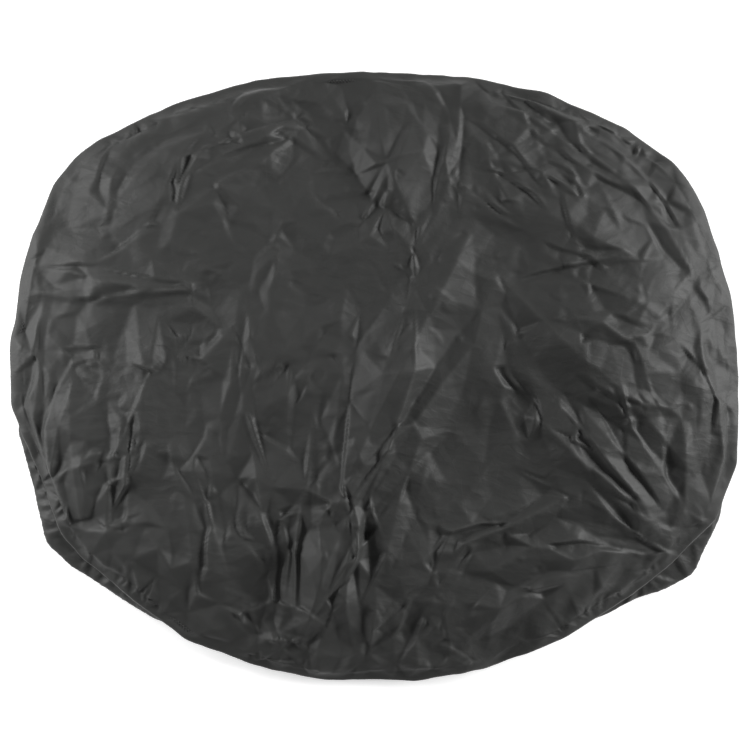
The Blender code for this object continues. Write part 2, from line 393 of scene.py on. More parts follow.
def creased_sheet(x, y, folds, outline):
    """Height of a sheet of flat facets that is creased along the folds' crests and valleys."""
    points, heights, edges, segments = [], [], [], []
    for path in folds:
        for index, (px, py, high) in enumerate(path):
            points.append(np.array([px, py]))
            heights.append(high)
            if index:
                edges.append((len(points) - 2, len(points) - 1))
                segments.append((*path[index - 1], px, py, high))
    segments = np.array(segments)
    seg_start, seg_end = segments[:, 0:2], segments[:, 3:5]
    seg_low, seg_high = segments[:, 2], segments[:, 5]
    rng = np.random.default_rng(SCATTER_SEED)
    scatter = []
    for number in range(FACET_TRIES):
        place = place_on_cover(rng, 0.97)
        if nearest_on(place, seg_start, seg_end)[1].min() <= FACET_GAP * 0.55:
            continue
        if all(np.hypot(*(place - other)) > FACET_GAP for other in scatter):
            scatter.append(place)
    points += scatter
    heights += list(rng.uniform(-FACET_HEIGHT, FACET_HEIGHT, len(scatter)))
    rim = np.linspace(0, 2 * math.pi, RIM_POINTS, endpoint=False)
    for stretch in LEVEL_RIMS:
        for px, py in zip(*(radius_at(outline, rim) * stretch * (np.cos(rim), np.sin(rim)))):
            points.append(np.array([px, py]))
            heights.append(0.0)
    flat = [Vector((float(p[0]), float(p[1]))) for p in points]
    verts, _, tris, origin, _, _ = delaunay_2d_cdt(flat, edges, [], 0, 1e-6)
    lifted = []
    for vert, came_from in zip(verts, origin):
        if came_from:
            high = max((heights[k] for k in came_from), key=abs)
        else:
            t, apart = nearest_on(np.array(vert), seg_start, seg_end)
            here = np.flatnonzero(apart < apart.min() + 1e-5)
            high = (seg_low[here] + (seg_high - seg_low)[here] * t[here]).mean()
        lifted.append(Vector((vert.x, vert.y, high)))
    tree = BVHTree.FromPolygons(lifted, tris)
    total = sum(heights_under(tree, x + dx, y + dy, 200.0) for dx, dy in READ_AROUND)
    return total / len(READ_AROUND) * 0.001


def either_way(rng, steep, gentle):
    """The reach of a fold's left and right slopes, with the steep one on a random side."""
    return (gentle, steep) if rng.uniform() < 0.5 else (steep, gentle)


def kinks(count):
    """Many short creases with one steep side, running mostly the way the nearby folds run."""
    rng = np.random.default_rng(KINK_SEED)
    out = []
    for number in range(count):
        place = place_on_cover(rng, 1.0)
        length = 0.008 + 0.034 * rng.uniform() ** 2
        turn = flow_at(place) + rng.normal(0, 0.55)
        bend = rng.normal(0, 0.25)
        before = place - length / 2 * np.array([math.cos(turn - bend), math.sin(turn - bend)])
        after = place + length / 2 * np.array([math.cos(turn + bend), math.sin(turn + bend)])
        steep = rng.uniform(2.4, 4.4)
        gentle = steep * rng.uniform(2, 5)
        high = steep * rng.uniform(0.15, 0.4) * rng.choice((-1, 1))
        out.append(("kink", [before, place, after], high, *either_way(rng, steep, gentle)))
    return out


def ear_folds(face, cover):
    """Short folds across each ear, fanning out from under the face panel's edge."""
    rng = np.random.default_rng(EAR_SEED)
    around = np.linspace(0, 2 * math.pi, 720, endpoint=False)
    beyond = radius_at(cover, around) - radius_at(face, around)
    out = []
    turn = 0.0
    while turn < 2 * math.pi:
        turn += rng.uniform(0.6, 1.4) * EAR_FOLD_GAP
        reach = float(np.interp(turn, around, beyond))
        if reach < FOLDED_EAR:
            continue
        inner = float(radius_at(face, turn))
        lean = rng.normal(0, 0.035)
        ends = ((inner - 0.012, turn - lean), (inner + 0.4 * reach, turn), (inner + 1.1 * reach, turn + lean))
        path = [(radius * math.cos(angle), radius * math.sin(angle)) for radius, angle in ends]
        left, right = either_way(rng, rng.uniform(2.5, 4.5), rng.uniform(7, 13))
        out.append(("ear fold", path, rng.uniform(1.8, 3.4), left, right))
    return out


def noise_field(x, y, size, seed):
    """Smooth value noise with bumps about size metres apart, from -1 to 1."""
    rng = np.random.default_rng(seed)
    grid = rng.uniform(-1, 1, (64, 64))
    u = (x / size + 17.3) % 64
    v = (y / size + 29.1) % 64
    i, j = np.floor(u).astype(int), np.floor(v).astype(int)
    s, t = u - i, v - j
    s, t = s * s * (3 - 2 * s), t * t * (3 - 2 * t)
    i2, j2 = (i + 1) % 64, (j + 1) % 64
    i, j = i % 64, j % 64
    top = grid[i, j] * (1 - s) + grid[i2, j] * s
    low = grid[i, j2] * (1 - s) + grid[i2, j2] * s
    return top * (1 - t) + low * t


def warped(x, y, size, much, seed):
    """Places pushed about a little, so that straight creases bend."""
    return x + much * noise_field(x, y, size, seed), y + much * noise_field(x, y, size, seed + 2)


def bump_at(x, y, place, spread):
    """A round bump at a listed place, 1 in its middle."""
    cx, cy = on_cover(place)
    return np.exp(-((x - cx) ** 2 + (y - cy) ** 2) / (2 * spread**2))


def facets(x, y, size, stretch, turn, seed, rough=1.0):
    """Crumpled flat facets: straight creases that meet in points, from -1 to 1."""
    rng = np.random.default_rng(seed)
    c, s = math.cos(turn), math.sin(turn)
    u = (c * x + s * y) / stretch
    v = -s * x + c * y
    margin = 3 * size
    nu = np.arange(u.min() - margin, u.max() + margin, size)
    nv = np.arange(v.min() - margin, v.max() + margin, size)
    gu, gv = np.meshgrid(nu, nv)
    gu = (gu + rng.uniform(-0.45, 0.45, gu.shape) * size).ravel()
    gv = (gv + rng.uniform(-0.45, 0.45, gv.shape) * size).ravel()
    heights = rng.uniform(-1, 1, len(gu))
    heights = np.sign(heights) * np.abs(heights) ** rough
    points = [Vector((a, b)) for a, b in zip(gu.tolist(), gv.tolist())]
    verts, _, tris, origin, _, _ = delaunay_2d_cdt(points, [], [], 0, 1e-7)
    lifted = [Vector((p.x, p.y, heights[o[0]])) for p, o in zip(verts, origin)]
    return heights_under(BVHTree.FromPolygons(lifted, tris), u, v, 3.0)


# ---------------------------------------------------------------- mesh layout
def disc_layout(rings):
    """Ring number and angle of every point of a disc with six more points on each ring."""
    ring_no, theta = [0.0], [0.0]
    for k in range(1, rings + 1):
        ring_no += [k] * (6 * k)
        theta += list(2 * math.pi * np.arange(6 * k) / (6 * k))
    return np.array(ring_no, float), np.array(theta)


def disc_faces(rings):
    """Triangles of that disc, facing up."""
    tris = []
    for k in range(1, rings + 1):
        first = 1 + 3 * k * (k - 1)
        inner = 1 + 3 * (k - 1) * (k - 2)
        n_out, n_in = 6 * k, 6 * (k - 1)
        for sextant in range(6):
            for i in range(k):
                o0 = first + (sextant * k + i) % n_out
                o1 = first + (sextant * k + i + 1) % n_out
                if k == 1:
                    tris.append((0, o0, o1))
                    continue
                i0 = inner + (sextant * (k - 1) + i) % n_in
                tris.append((i0, o0, o1))
                if i < k - 1:
                    i1 = inner + (sextant * (k - 1) + i + 1) % n_in
                    tris.append((i0, o1, i1))
    return tris


def skirt_faces(rings, rows):
    """Triangles of the rows of cloth that carry on from the disc's last ring."""
    columns = 6 * rings
    first = 1 + 3 * rings * (rings - 1)
    tris = []
    for row in range(rows):
        a = first + row * columns
        b = a + columns
        for c in range(columns):
            d = (c + 1) % columns
            if (row + c) % 2:
                tris += [(a + c, b + c, b + d), (a + c, b + d, a + d)]
            else:
                tris += [(a + c, b + c, a + d), (a + d, b + c, b + d)]
    return tris


def refine(verts, tris, groups):
    """One step of smooth subdivision of a triangle mesh (Loop's rule), carrying each face's group."""
    tris = np.array(tris)
    count = len(verts)
    sides = np.vstack([tris[:, [0, 1]], tris[:, [1, 2]], tris[:, [2, 0]]])
    across = np.concatenate([tris[:, 2], tris[:, 0], tris[:, 1]])
    ordered = np.sort(sides, axis=1)
    codes = ordered[:, 0] * count + ordered[:, 1]
    keys, inverse, uses = np.unique(codes, return_inverse=True, return_counts=True)
    ends = np.stack([keys // count, keys % count], axis=1)
    far = np.zeros((len(keys), verts.shape[1]))
    np.add.at(far, inverse, verts[across])
    middle = (verts[ends[:, 0]] + verts[ends[:, 1]]) / 2
    inside = uses == 2
    middle[inside] = 0.375 * (verts[ends[inside, 0]] + verts[ends[inside, 1]]) + 0.125 * far[inside]
    total = np.zeros_like(verts)
    valence = np.zeros(count)
    np.add.at(total, ends[:, 0], verts[ends[:, 1]])
    np.add.at(total, ends[:, 1], verts[ends[:, 0]])
    np.add.at(valence, ends.ravel(), 1)
    weight = 0.375 / np.maximum(valence, 1)
    moved = verts * 0.625 + total * weight[:, None]
    border = ends[~inside]
    edge_total = np.zeros_like(verts)
    np.add.at(edge_total, border[:, 0], verts[border[:, 1]])
    np.add.at(edge_total, border[:, 1], verts[border[:, 0]])
    on_border = np.unique(border.ravel())
    moved[on_border] = 0.75 * verts[on_border] + 0.125 * edge_total[on_border]
    number = len(tris)
    ab, bc, ca = count + inverse[:number], count + inverse[number:2 * number], count + inverse[2 * number:]
    a, b, c = tris.T
    fine = np.stack([
        np.stack([a, ab, ca], axis=1), np.stack([ab, b, bc], axis=1),
        np.stack([ca, bc, c], axis=1), np.stack([ab, bc, ca], axis=1),
    ], axis=1).reshape(-1, 3)
    return np.vstack([moved, middle]), fine, np.repeat(groups, 4)


def vertex_normals(verts, tris):
    a, b, c = verts[tris[:, 0]], verts[tris[:, 1]], verts[tris[:, 2]]
    flat = np.cross(b - a, c - a)
    normals = np.zeros_like(verts)
    for k in range(3):
        np.add.at(normals, tris[:, k], flat)
    return normals / np.maximum(np.linalg.norm(normals, axis=1), 1e-12)[:, None]


def make_object(name, verts, faces, material, uv=None):
    mesh = bpy.data.meshes.new(name)
    mesh.from_pydata(np.asarray(verts).tolist(), [], np.asarray(faces).tolist())
    mesh.shade_smooth()
    if uv is not None:
        layer = mesh.uv_layers.new(name="pattern")
        index = np.empty(len(mesh.loops), int)
        mesh.loops.foreach_get("vertex_index", index)
        layer.data.foreach_set("uv", np.asarray(uv)[index].astype(np.float32).ravel())
    if material is not None:
        mesh.materials.append(material)
    piece = bpy.data.objects.new(name, mesh)
    bpy.context.scene.collection.objects.link(piece)
    return piece


def used_part(verts, tris, extra):
    """The triangles with only the points they use."""
    used, new_index = np.unique(tris, return_inverse=True)
    return verts[used], new_index.reshape(tris.shape), extra[used]


# ---------------------------------------------------------------- the cover's cloth
RINGS = 90
COLUMNS = 6 * RINGS
FLAT_RADIUS = 0.385
# Section of the lying cover: share of the outline and height, from the middle to the seam.
FACE_SECTION = [
    (0.00, 0.051), (0.30, 0.052), (0.60, 0.048), (0.76, 0.042), (0.86, 0.0345), (0.92, 0.0275),
    (0.96, 0.0215), (0.982, 0.0178), (0.995, 0.0156), (1.000, 0.0147),
]
# It carries on round the side band to where that lies flat on the floor: row, how far it follows
# the whole cover's outline rather than the seam's, share of that outline and height.
SKIRT_ROWS = 7
SKIRT_SECTION = [
    (1, 0.00, 0.997, 0.0128),
    (2, 0.33, 0.998, 0.0106),
    (3, 0.67, 1.000, 0.0088),
    (4, 1.00, 1.000, 0.0058),
    (5, 1.00, 0.992, 0.0028),
    (6, 1.00, 0.975, 0.0017),
    (7, 1.00, 0.948, 0.0015),
]
# Under the cover the band runs in to its hem, gathered by the elastic.
UNDER_ROWS = 14
HEM_SHARE = 0.652
# The CAD's hem casing reaches this share of that outline.
CASING_SHARE = 0.655
BROAD_GATHERS = 71
FINE_GATHERS = 139
# The rim runs straight between soft corners, as far as it stays this close to the CAD outline.
STRAIGHT_PLAY = 0.003
# The band is an ear where it sticks out past the face panel by this much.
EAR_LEAST = 0.003
# Elsewhere its turned-under edge stays this share inside the face panel's.
TUCKED = 0.990
# The loose rim rises and falls by up to this share of its height, and wanders in and out in metres.
RIM_RISE = 0.40
RIM_WANDER = 0.0016
# How far corners are softened, in metres: at the rim, and further in.
RIM_SOFT = 0.004
INNER_SOFT = 0.040
# The cloth simulation: its length, how much larger the cloth grows, its stiffness in bending, and
# how often the settled cloth is eased.
SIM_FRAMES = 20
SIM_SHRINK = -0.03
SIM_BEND = 0.5
EASING_STEPS = 4
# Nothing in the cloth lies lower than this, nor higher than this above the CAD solid.
LOWEST = 0.0006
TOP = cover_height + 0.011
# The cloth's own crinkles: height, size, how much longer than wide, turn, seed and roughness.
CRINKLES = [
    (0.0050, 0.038, 1.6, -0.5, 12, 1.6),
    (0.0026, 0.020, 1.7, 1.1, 13, 1.8),
    (0.0010, 0.010, 1.8, 0.2, 14, 1.5),
]
GEOMETRY_CRINKLE = 0.55
# How much of the folds carries on over the band.
BAND_FOLDS = 0.40


def section_at(share):
    """Share of the outline and height, a share of the way along the face panel's section."""
    s = np.array(FACE_SECTION)
    along = running_total(np.hypot(np.diff(s[:, 0]) * 0.37, np.diff(s[:, 1])))
    along /= along[-1]
    height = np.interp(share, along, s[:, 1]) * cover_height / LISTED_HEIGHT
    return np.interp(share, along, s[:, 0]), height


cover_corners = np.array(seen_outline("side_band"))
face_corners = np.array(seen_outline("face_panel"))
cover_reach = np.hypot(*cover_corners.T)
face_reach = np.hypot(*face_corners.T)
# Away from the ears the face panel's edge lies over the band and hides it.
face_grown = face_reach * np.median(cover_reach / face_reach)
face_reach = np.where(cover_reach - face_grown > EAR_LEAST, face_grown, cover_reach)
face_corners *= (face_reach / np.hypot(*face_corners.T))[:, None]
# Straight runs cut inside the outline, so their corners move out by half the play.
runs = straight_runs(cover_corners, STRAIGHT_PLAY)
moved_out = (1 + 0.5 * STRAIGHT_PLAY / cover_reach[runs])[:, None]
cover_outline = polar_outline(cover_corners[runs] * moved_out, RIM_SOFT)
face_outline = polar_outline(face_corners[runs] * moved_out, RIM_SOFT)
inner_outline = polar_outline(face_corners, INNER_SOFT)
casing_outline = polar_outline(seen_outline("hem_casing"), RIM_SOFT)


def hem_reach(theta):
    """The whole cover's outline as the elastic draws it, which is smooth and has no ears."""
    return radius_at(casing_outline, theta) / CASING_SHARE


def rim_wave(theta, size, seed):
    """Uneven waves along the rim, about size metres long, from -1 to 1."""
    x, y = 0.5 * cover_sides[:, None] * (np.cos(theta), np.sin(theta))
    return noise_field(x, y, size, seed)


def lying_points(ring_no, theta):
    """Plain place of the cloth's points before folds: the face panel, then the skirt rows."""
    share, height = section_at(np.minimum(ring_no / RINGS, 1.0))
    near_edge = smoothstep(0.80, 0.99, share)
    edge = radius_at(face_outline, theta)
    radius = share * (edge * near_edge + radius_at(inner_outline, theta) * (1 - near_edge))
    beyond = radius_at(cover_outline, theta) - edge
    ear = smoothstep(0.3 * EAR_LEAST, 1.5 * EAR_LEAST, beyond)
    whole = edge * TUCKED * (1 - ear) + (edge + beyond) * ear
    row = ring_no - RINGS
    for number, blend, scale, level in SKIRT_SECTION:
        here = row == number
        radius = np.where(here, ((1 - blend) * edge + blend * whole) * scale, radius)
        height = np.where(here, level, height)
    under = row > SKIRT_ROWS
    inward = np.clip((row - SKIRT_ROWS) / UNDER_ROWS, 0, 1)
    at_hem = hem_reach(theta) * HEM_SHARE
    radius = np.where(under, (1 - inward) * whole * SKIRT_SECTION[-1][2] + inward * at_hem, radius)
    height = np.where(under, gathered_height(inward, theta), height)
    share = np.where(row > 0, 1.0, share)
    loose_rim = smoothstep(0.93, 1.0, share) * (1 - smoothstep(4, SKIRT_ROWS, row))
    height = height * (1 + RIM_RISE * loose_rim * rim_wave(theta, 0.045, 51))
    wander = 0.6 * rim_wave(theta, 0.030, 52) + 0.4 * rim_wave(theta, 0.013, 53)
    radius = radius + RIM_WANDER * loose_rim * wander
    return radius * np.cos(theta), radius * np.sin(theta), height, share


def gathered_height(inward, theta):
    """Height of the band under the cover: flat at the rim, rippled by the gathers at the hem."""
    sway = 1.3 * np.sin(3 * theta + 0.4) + 0.9 * np.sin(7 * theta + 2.0) + 0.5 * np.sin(17 * theta)
    broad = 1 + np.cos(BROAD_GATHERS * theta + 2 * sway)
    fine_ripple = 1 + np.cos(FINE_GATHERS * theta + 3 * sway)
    broad_size = 0.0022 * smoothstep(0.15, 0.6, inward) * (1 - 0.85 * smoothstep(0.7, 1.0, inward))
    fine_size = 0.0010 * smoothstep(0.45, 1.0, inward)
    return 0.0015 - 0.0008 * smoothstep(0, 0.2, inward) + broad_size * broad + fine_size * fine_ripple


ring_no, theta = disc_layout(RINGS)
for row in range(1, SKIRT_ROWS + UNDER_ROWS + 1):
    ring_no = np.concatenate([ring_no, np.full(COLUMNS, RINGS + row)])
    theta = np.concatenate([theta, 2 * math.pi * np.arange(COLUMNS) / COLUMNS])
x, y, height, share = lying_points(ring_no, theta)
edge_fade = 1 - 0.75 * smoothstep(0.95, 1.0, share)
edge_fade = np.where(ring_no > RINGS, 0.0, edge_fade)

swell = np.zeros(len(x))
for *place, spread, high in SWELLS:
    swell += high * 0.001 * bump_at(x, y, place, spread)
crumple = 0.0030 * facets(*warped(x, y, 0.06, 0.012, 1), 0.060, 1.4, 0.6, 11)
start_z = np.maximum(height + (swell + crumple) * edge_fade, height * 0.5)
support_z = np.maximum(height + (swell + 0.5 * crumple) * edge_fade - 0.004, 0.0005)
all_faces = disc_faces(RINGS) + skirt_faces(RINGS, SKIRT_ROWS + UNDER_ROWS)


def eased(points, faces, steps):
    """The points moved part of the way to the middle of their neighbours, a few times."""
    faces = np.array(faces)
    a = np.concatenate([faces[:, 0], faces[:, 1], faces[:, 2]])
    b = np.concatenate([faces[:, 1], faces[:, 2], faces[:, 0]])
    uses = np.bincount(a, minlength=len(points)) + np.bincount(b, minlength=len(points))
    for step in range(steps):
        total = np.zeros_like(points)
        np.add.at(total, a, points[b])
        np.add.at(total, b, points[a])
        points = 0.45 * points + 0.55 * total / uses[:, None]
    return points


def settle(start, support, faces, loose):
    """Lays the slightly too large cloth over a hidden form, so that it wrinkles as cloth does."""
    cloth_piece = make_object("cloth_to_settle", start, faces, None)
    form = make_object("form_below", support, faces, None)
    form.modifiers.new("collision", "COLLISION")
    form.collision.thickness_outer = 0.001
    form.collision.thickness_inner = 0.02
    form.collision.cloth_friction = 8
    held = cloth_piece.vertex_groups.new(name="held")
    for index in np.flatnonzero(loose < 1):
        held.add([int(index)], float(1 - loose[index]), "REPLACE")
    cloth_mod = cloth_piece.modifiers.new("cloth", "CLOTH")
    settings = cloth_mod.settings
    settings.quality = 6
    settings.mass = 0.05
    settings.air_damping = 2
    settings.tension_stiffness = 20
    settings.compression_stiffness = 20
    settings.shear_stiffness = 10
    settings.bending_stiffness = SIM_BEND
    settings.vertex_group_mass = "held"
    settings.pin_stiffness = 5
    settings.shrink_min = SIM_SHRINK
    cloth_mod.collision_settings.distance_min = 0.0015
    cloth_mod.collision_settings.collision_quality = 3
    cloth_mod.point_cache.frame_start = 1
    cloth_mod.point_cache.frame_end = SIM_FRAMES
    scene = bpy.context.scene
    for number in range(1, SIM_FRAMES + 1):
        scene.frame_set(number)
    settled = cloth_piece.evaluated_get(bpy.context.evaluated_depsgraph_get()).to_mesh()
    out = np.empty(len(settled.vertices) * 3)
    settled.vertices.foreach_get("co", out)
    scene.frame_set(1)
    for piece in (cloth_piece, form):
        bpy.data.objects.remove(piece)
    return out.reshape(-1, 3)


loose = 1 - 0.35 * smoothstep(0.985, 1.0, share)
loose = np.where(ring_no > RINGS, 0.6, loose)
loose = np.where(ring_no >= RINGS + 5, 0.0, loose)
start = np.stack([x, y, start_z], axis=1)
above = ring_no <= RINGS + SKIRT_ROWS
above_faces = disc_faces(RINGS) + skirt_faces(RINGS, SKIRT_ROWS)
form_points = np.stack([x, y, support_z], axis=1)
lying = start.copy()
settled = settle(start[above], form_points[above], above_faces, loose[above])
settled = eased(settled, above_faces, EASING_STEPS)
free = (1 - smoothstep(0.93, 0.985, share[above]))[:, None]
lying[above] = settled * free + start[above] * (1 - free)

lying[:, 2] = np.maximum(lying[:, 2], LOWEST)
flat_reach = ring_no / RINGS * FLAT_RADIUS
pattern = np.stack([flat_reach * np.cos(theta), flat_reach * np.sin(theta)], axis=1)
face_count = len(disc_faces(RINGS))
groups = np.array([0] * face_count + [1] * (len(all_faces) - face_count))
fine, fine_faces, fine_groups = refine(np.hstack([lying, pattern, ring_no[:, None]]), all_faces, groups)
fine_pattern = fine[:, 3:5]
fine_ring = fine[:, 5]
fine = fine[:, :3]
normals = vertex_normals(fine, fine_faces)

# The folds' sharp crests, and the small crinkles that the cloth keeps from being folded away.
px, py = fine_pattern.T
fx, fy = fine[:, 0], fine[:, 1]
sharp = creased_sheet(fx, fy, all_folds(face_outline), cover_outline)
add_folds(sharp, fx, fy, [(name, on_cover(crest), *sizes) for name, crest, *sizes in BROAD_FOLDS])
add_folds(sharp, fx, fy, kinks(KINKS))
calm = np.zeros(len(px))
for *place, spread in CALM:
    calm = np.maximum(calm, bump_at(fx, fy, place, spread))
patchy = (1 - 0.5 * calm) * (0.8 + 0.6 * noise_field(px, py, 0.07, 9))
bent = warped(px, py, 0.05, 0.008, 21)
crinkle = sum(high * facets(*bent, *kind) for high, *kind in CRINKLES)
fine_share = np.clip(fine_ring / RINGS, 0, 1)
crinkle = crinkle * GEOMETRY_CRINKLE
rim_fade = 1 - 0.93 * smoothstep(0.95, 0.998, fine_share)
fine = fine + normals * (crinkle * patchy * rim_fade)[:, None]
# Folds die out at the seam and come back, lower, on the loose band beside it.
fine_row = fine_ring - RINGS
at_seam = 1 - 0.85 * smoothstep(0.965, 1.0, fine_share)
on_band = smoothstep(0, 2, fine_row) * (1 - smoothstep(4, SKIRT_ROWS, fine_row))
across_ears = np.zeros(len(fx))
add_folds(across_ears, fx, fy, ear_folds(face_outline, cover_outline))
fine[:, 2] += sharp * (at_seam + BAND_FOLDS * on_band) + across_ears * on_band
fine[:, 2] = np.clip(fine[:, 2], LOWEST, TOP)


# ---------------------------------------------------------------- materials
class Nodes:
    """Short ways to add and join the nodes of one material."""

    def __init__(self, name):
        self.material = bpy.data.materials.new(name)
        self.material.use_nodes = True
        self.tree = self.material.node_tree
        self.shader = self.tree.nodes["Principled BSDF"]

    def add(self, kind, inputs=None, **settings):
        node = self.tree.nodes.new("ShaderNode" + kind)
        for key, value in settings.items():
            setattr(node, key, value)
        for key, value in (inputs or {}).items():
            self.put(node.inputs[key], value)
        return node

    def put(self, socket, value):
        if isinstance(value, bpy.types.NodeSocket):
            self.tree.links.new(value, socket)
        else:
            socket.default_value = value

    def look(self, inputs):
        """Sets or joins inputs of the material's own shader."""
        for key, value in inputs.items():
            self.put(self.shader.inputs[key], value)

    def math(self, operation, a, b=0.0, c=0.0, clamp=False):
        node = self.tree.nodes.new("ShaderNodeMath")
        node.operation = operation
        node.use_clamp = clamp
        for socket, value in zip(node.inputs, (a, b, c)):
            self.put(socket, value)
        return node.outputs[0]

    def spread(self, value, low, high, to_low, to_high):
        """The value read from one range into another, held at its ends."""
        limits = {"From Min": low, "From Max": high, "To Min": to_low, "To Max": to_high}
        return self.add("MapRange", {"Value": value, **limits}).outputs["Result"]


# Small crumples: size, turn, how much longer than wide, and height, in metres.
CRUMPLES = [
    (0.040, 0.5, 1.9, 0.0016),
    (0.026, -0.9, 1.7, 0.0009),
    (0.014, 1.9, 1.6, 0.0003),
    (0.007, 0.2, 1.4, 0.00008),
]


def cloth_material(name):
    """Thin coated taffeta: a fine plain weave, crumpled into small flat facets, with painted highlights that
    lighten its crease lines and sharp ridges.
    """
    n = Nodes(name)
    place = n.add("TexCoord").outputs["Object"]
    pattern = n.add("UVMap", uv_map="pattern").outputs["UV"]
    bend = n.add("TexNoise", {"Vector": place, "Scale": 14.0, "Detail": 2.0})
    middle = {0: bend.outputs["Color"], 1: (0.5, 0.5, 0.5)}
    shift = n.add("VectorMath", middle, operation="SUBTRACT").outputs[0]
    moved = n.add("VectorMath", {0: shift, "Scale": 0.022, 1: place}, operation="SCALE").outputs[0]
    bent = n.add("VectorMath", {0: place, 1: moved}, operation="ADD").outputs[0]
    patches = n.add("TexNoise", {"Vector": place, "Scale": 9.0, "Detail": 1.0}).outputs["Fac"]
    busy = n.spread(patches, 0.38, 0.62, 0.25, 1.0)

    height = None
    for size, turn, stretch, high in CRUMPLES:
        turned = n.add("Mapping", {"Vector": bent, "Rotation": (0, 0, turn), "Scale": (1.0, stretch, 0.3)})
        cells = n.add("TexVoronoi", {"Vector": turned.outputs[0], "Scale": 1 / size}, distance="CHEBYCHEV")
        part = n.math("MULTIPLY", cells.outputs["Distance"], high)
        height = part if height is None else n.math("ADD", height, part)
    lines = n.add("TexVoronoi", {"Vector": bent, "Scale": 42.0}, feature="DISTANCE_TO_EDGE")
    crease = n.math("MULTIPLY", n.spread(lines.outputs["Distance"], 0.0, 0.045, 1.0, 0.0), busy)
    height = n.math("MULTIPLY", height, busy)
    height = n.math("MULTIPLY_ADD", crease, 0.00004, height)
    crumpled = n.add("Bump", {"Height": height, "Strength": 1.0, "Distance": 1.0})

    threads = []
    for axis in ("X", "Y"):
        wave = {"Vector": pattern, "Scale": 900.0, "Distortion": 0.6, "Detail": 1.0}
        threads.append(n.add("TexWave", wave, bands_direction=axis).outputs["Fac"])
    weave = n.math("MAXIMUM", threads[0], threads[1])
    woven = n.add("Bump", {"Height": weave, "Strength": 0.15, "Distance": 0.00006})
    n.put(woven.inputs["Normal"], crumpled.outputs[0])

    clouds = n.add("TexNoise", {"Vector": place, "Scale": 26.0, "Detail": 5.0}).outputs["Fac"]
    # Painted highlight: sharp ridges (found by pointiness) and the crease lines are painted lighter, standing
    # in for the light they catch; the cloudy noise under it is the cloth's own uneven tone.
    edges = n.spread(n.add("NewGeometry").outputs["Pointiness"], 0.50, 0.60, 0.0, 1.0)
    painted_highlight = n.math("MULTIPLY_ADD", crease, 0.06, n.math("MULTIPLY", edges, 0.5), clamp=True)
    tone = n.math("MULTIPLY_ADD", clouds, 0.30, painted_highlight, clamp=True)
    colour = n.add("ValToRGB", {"Fac": tone})
    colour.color_ramp.elements[0].color = (0.021, 0.0215, 0.0206, 1)
    colour.color_ramp.elements[1].color = (0.046, 0.0465, 0.0448, 1)
    rough = n.math("MULTIPLY_ADD", clouds, 0.16, 0.46)
    n.look({
        "Base Color": colour.outputs["Color"],
        "Roughness": n.math("MULTIPLY_ADD", weave, 0.04, rough),
        "Specular IOR Level": 0.30,
        "Sheen Weight": 0.08,
        "Sheen Roughness": 0.45,
        "Normal": woven.outputs[0],
    })
    return n.material


def thread_material(name, colour, strand, slope):
    """Twisted thread or ribbed webbing: fine slanting strands over a matt dark colour."""
    n = Nodes(name)
    place = n.add("TexCoord").outputs["Object"]
    turned = n.add("Mapping", {"Vector": place, "Rotation": (0, 0, slope)}).outputs[0]
    wave = {"Vector": turned, "Scale": strand, "Distortion": 1.5, "Detail": 3.0}
    strands = n.add("TexWave", wave).outputs["Fac"]
    ramp = n.add("ValToRGB", {"Fac": strands})
    ramp.color_ramp.elements[0].color = (colour * 0.6, colour * 0.6, colour * 0.6, 1)
    ramp.color_ramp.elements[1].color = (colour * 1.3, colour * 1.3, colour * 1.25, 1)
    bump = n.add("Bump", {"Height": strands, "Strength": 0.4, "Distance": 0.0002}).outputs["Normal"]
    n.look({"Base Color": ramp.outputs["Color"], "Roughness": 0.75, "Sheen Weight": 0.15, "Normal": bump})
    return n.material


# ---------------------------------------------------------------- sewn pieces
THREAD_RADIUS = 0.00035
SEAM_STITCH = 0.0028
HEM_STITCH = 0.0030
STITCH_GAP = 0.0008
OVERLOCK_PITCH = 0.0036
OVERLOCK_HALF_WIDTH = 0.0014
# Both edges of the seam are turned inside: (how far in, how much higher than the seam).
FACE_TURN = [(0.0015, -0.0004), (0.0100, 0.0016)]
BAND_TURN = [(0.0015, -0.0014), (0.0045, -0.0010), (0.0100, 0.0004)]
TURNED_LOWEST = 0.0024
# The seam's own thread and its overlock run under the turned edges: the same two measures.
SEAM_THREAD = (0.0050, -0.0015)
SEAM_EDGE = (0.0100, 0.0021)
THREAD_LOWEST = 0.0026
# The casing is a strip folded round the elastic and sewn down on the band, all gathered up: share
# of the hem outline, height above the gathered hem, and how far it follows the gathers.
CASING_SECTION = [
    (0.668, 0.0005, 1.0), (0.655, 0.0006, 1.0), (0.640, 0.0003, 0.9), (0.622, -0.0002, 0.8),
    (0.608, -0.0002, 0.7), (0.602, 0.0012, 0.4), (0.600, 0.0032, 0.3), (0.602, 0.0056, 0.5),
    (0.609, 0.0074, 0.9), (0.622, 0.0080, 1.0), (0.636, 0.0064, 1.0), (0.647, 0.0034, 1.0),
    (0.655, 0.0013, 1.0), (0.668, 0.0012, 1.0),
]
HEM_POINTS = 1600
# The stitching that closes it: share of the hem outline, and height above the gathered hem.
HEM_STITCH_SHARE = 0.661
HEM_STITCH_LIFT = 0.0013
# The casing's weave, over the cloth's, where it is gathered and from row to row.
CASING_EASE = 1.3
CASING_ROW = 0.0035
# The elastic: its middle and half its width as shares of the hem outline, height and half thickness.
ELASTIC_MIDDLE = 0.620
ELASTIC_HALF_WIDTH = 0.0090
ELASTIC_HEIGHT = 0.0050
ELASTIC_HALF_THICKNESS = 0.0007
ELASTIC_SIDES = 24
# The zigzag that joins its ends: points, how long it is, how far it swings and its height.
TACK_POINTS = 13
TACK_LENGTH = 0.012
TACK_SWING = 0.0030
TACK_HEIGHT = 0.0061
# The band's closing seam: where it is, how far it runs across the band, and its overlock beside it.
CLOSING_TURN = math.radians(99)
CLOSING_SHARES = (0.68, 0.94)
CLOSING_POINTS = 60
CLOSING_EDGE = 0.008
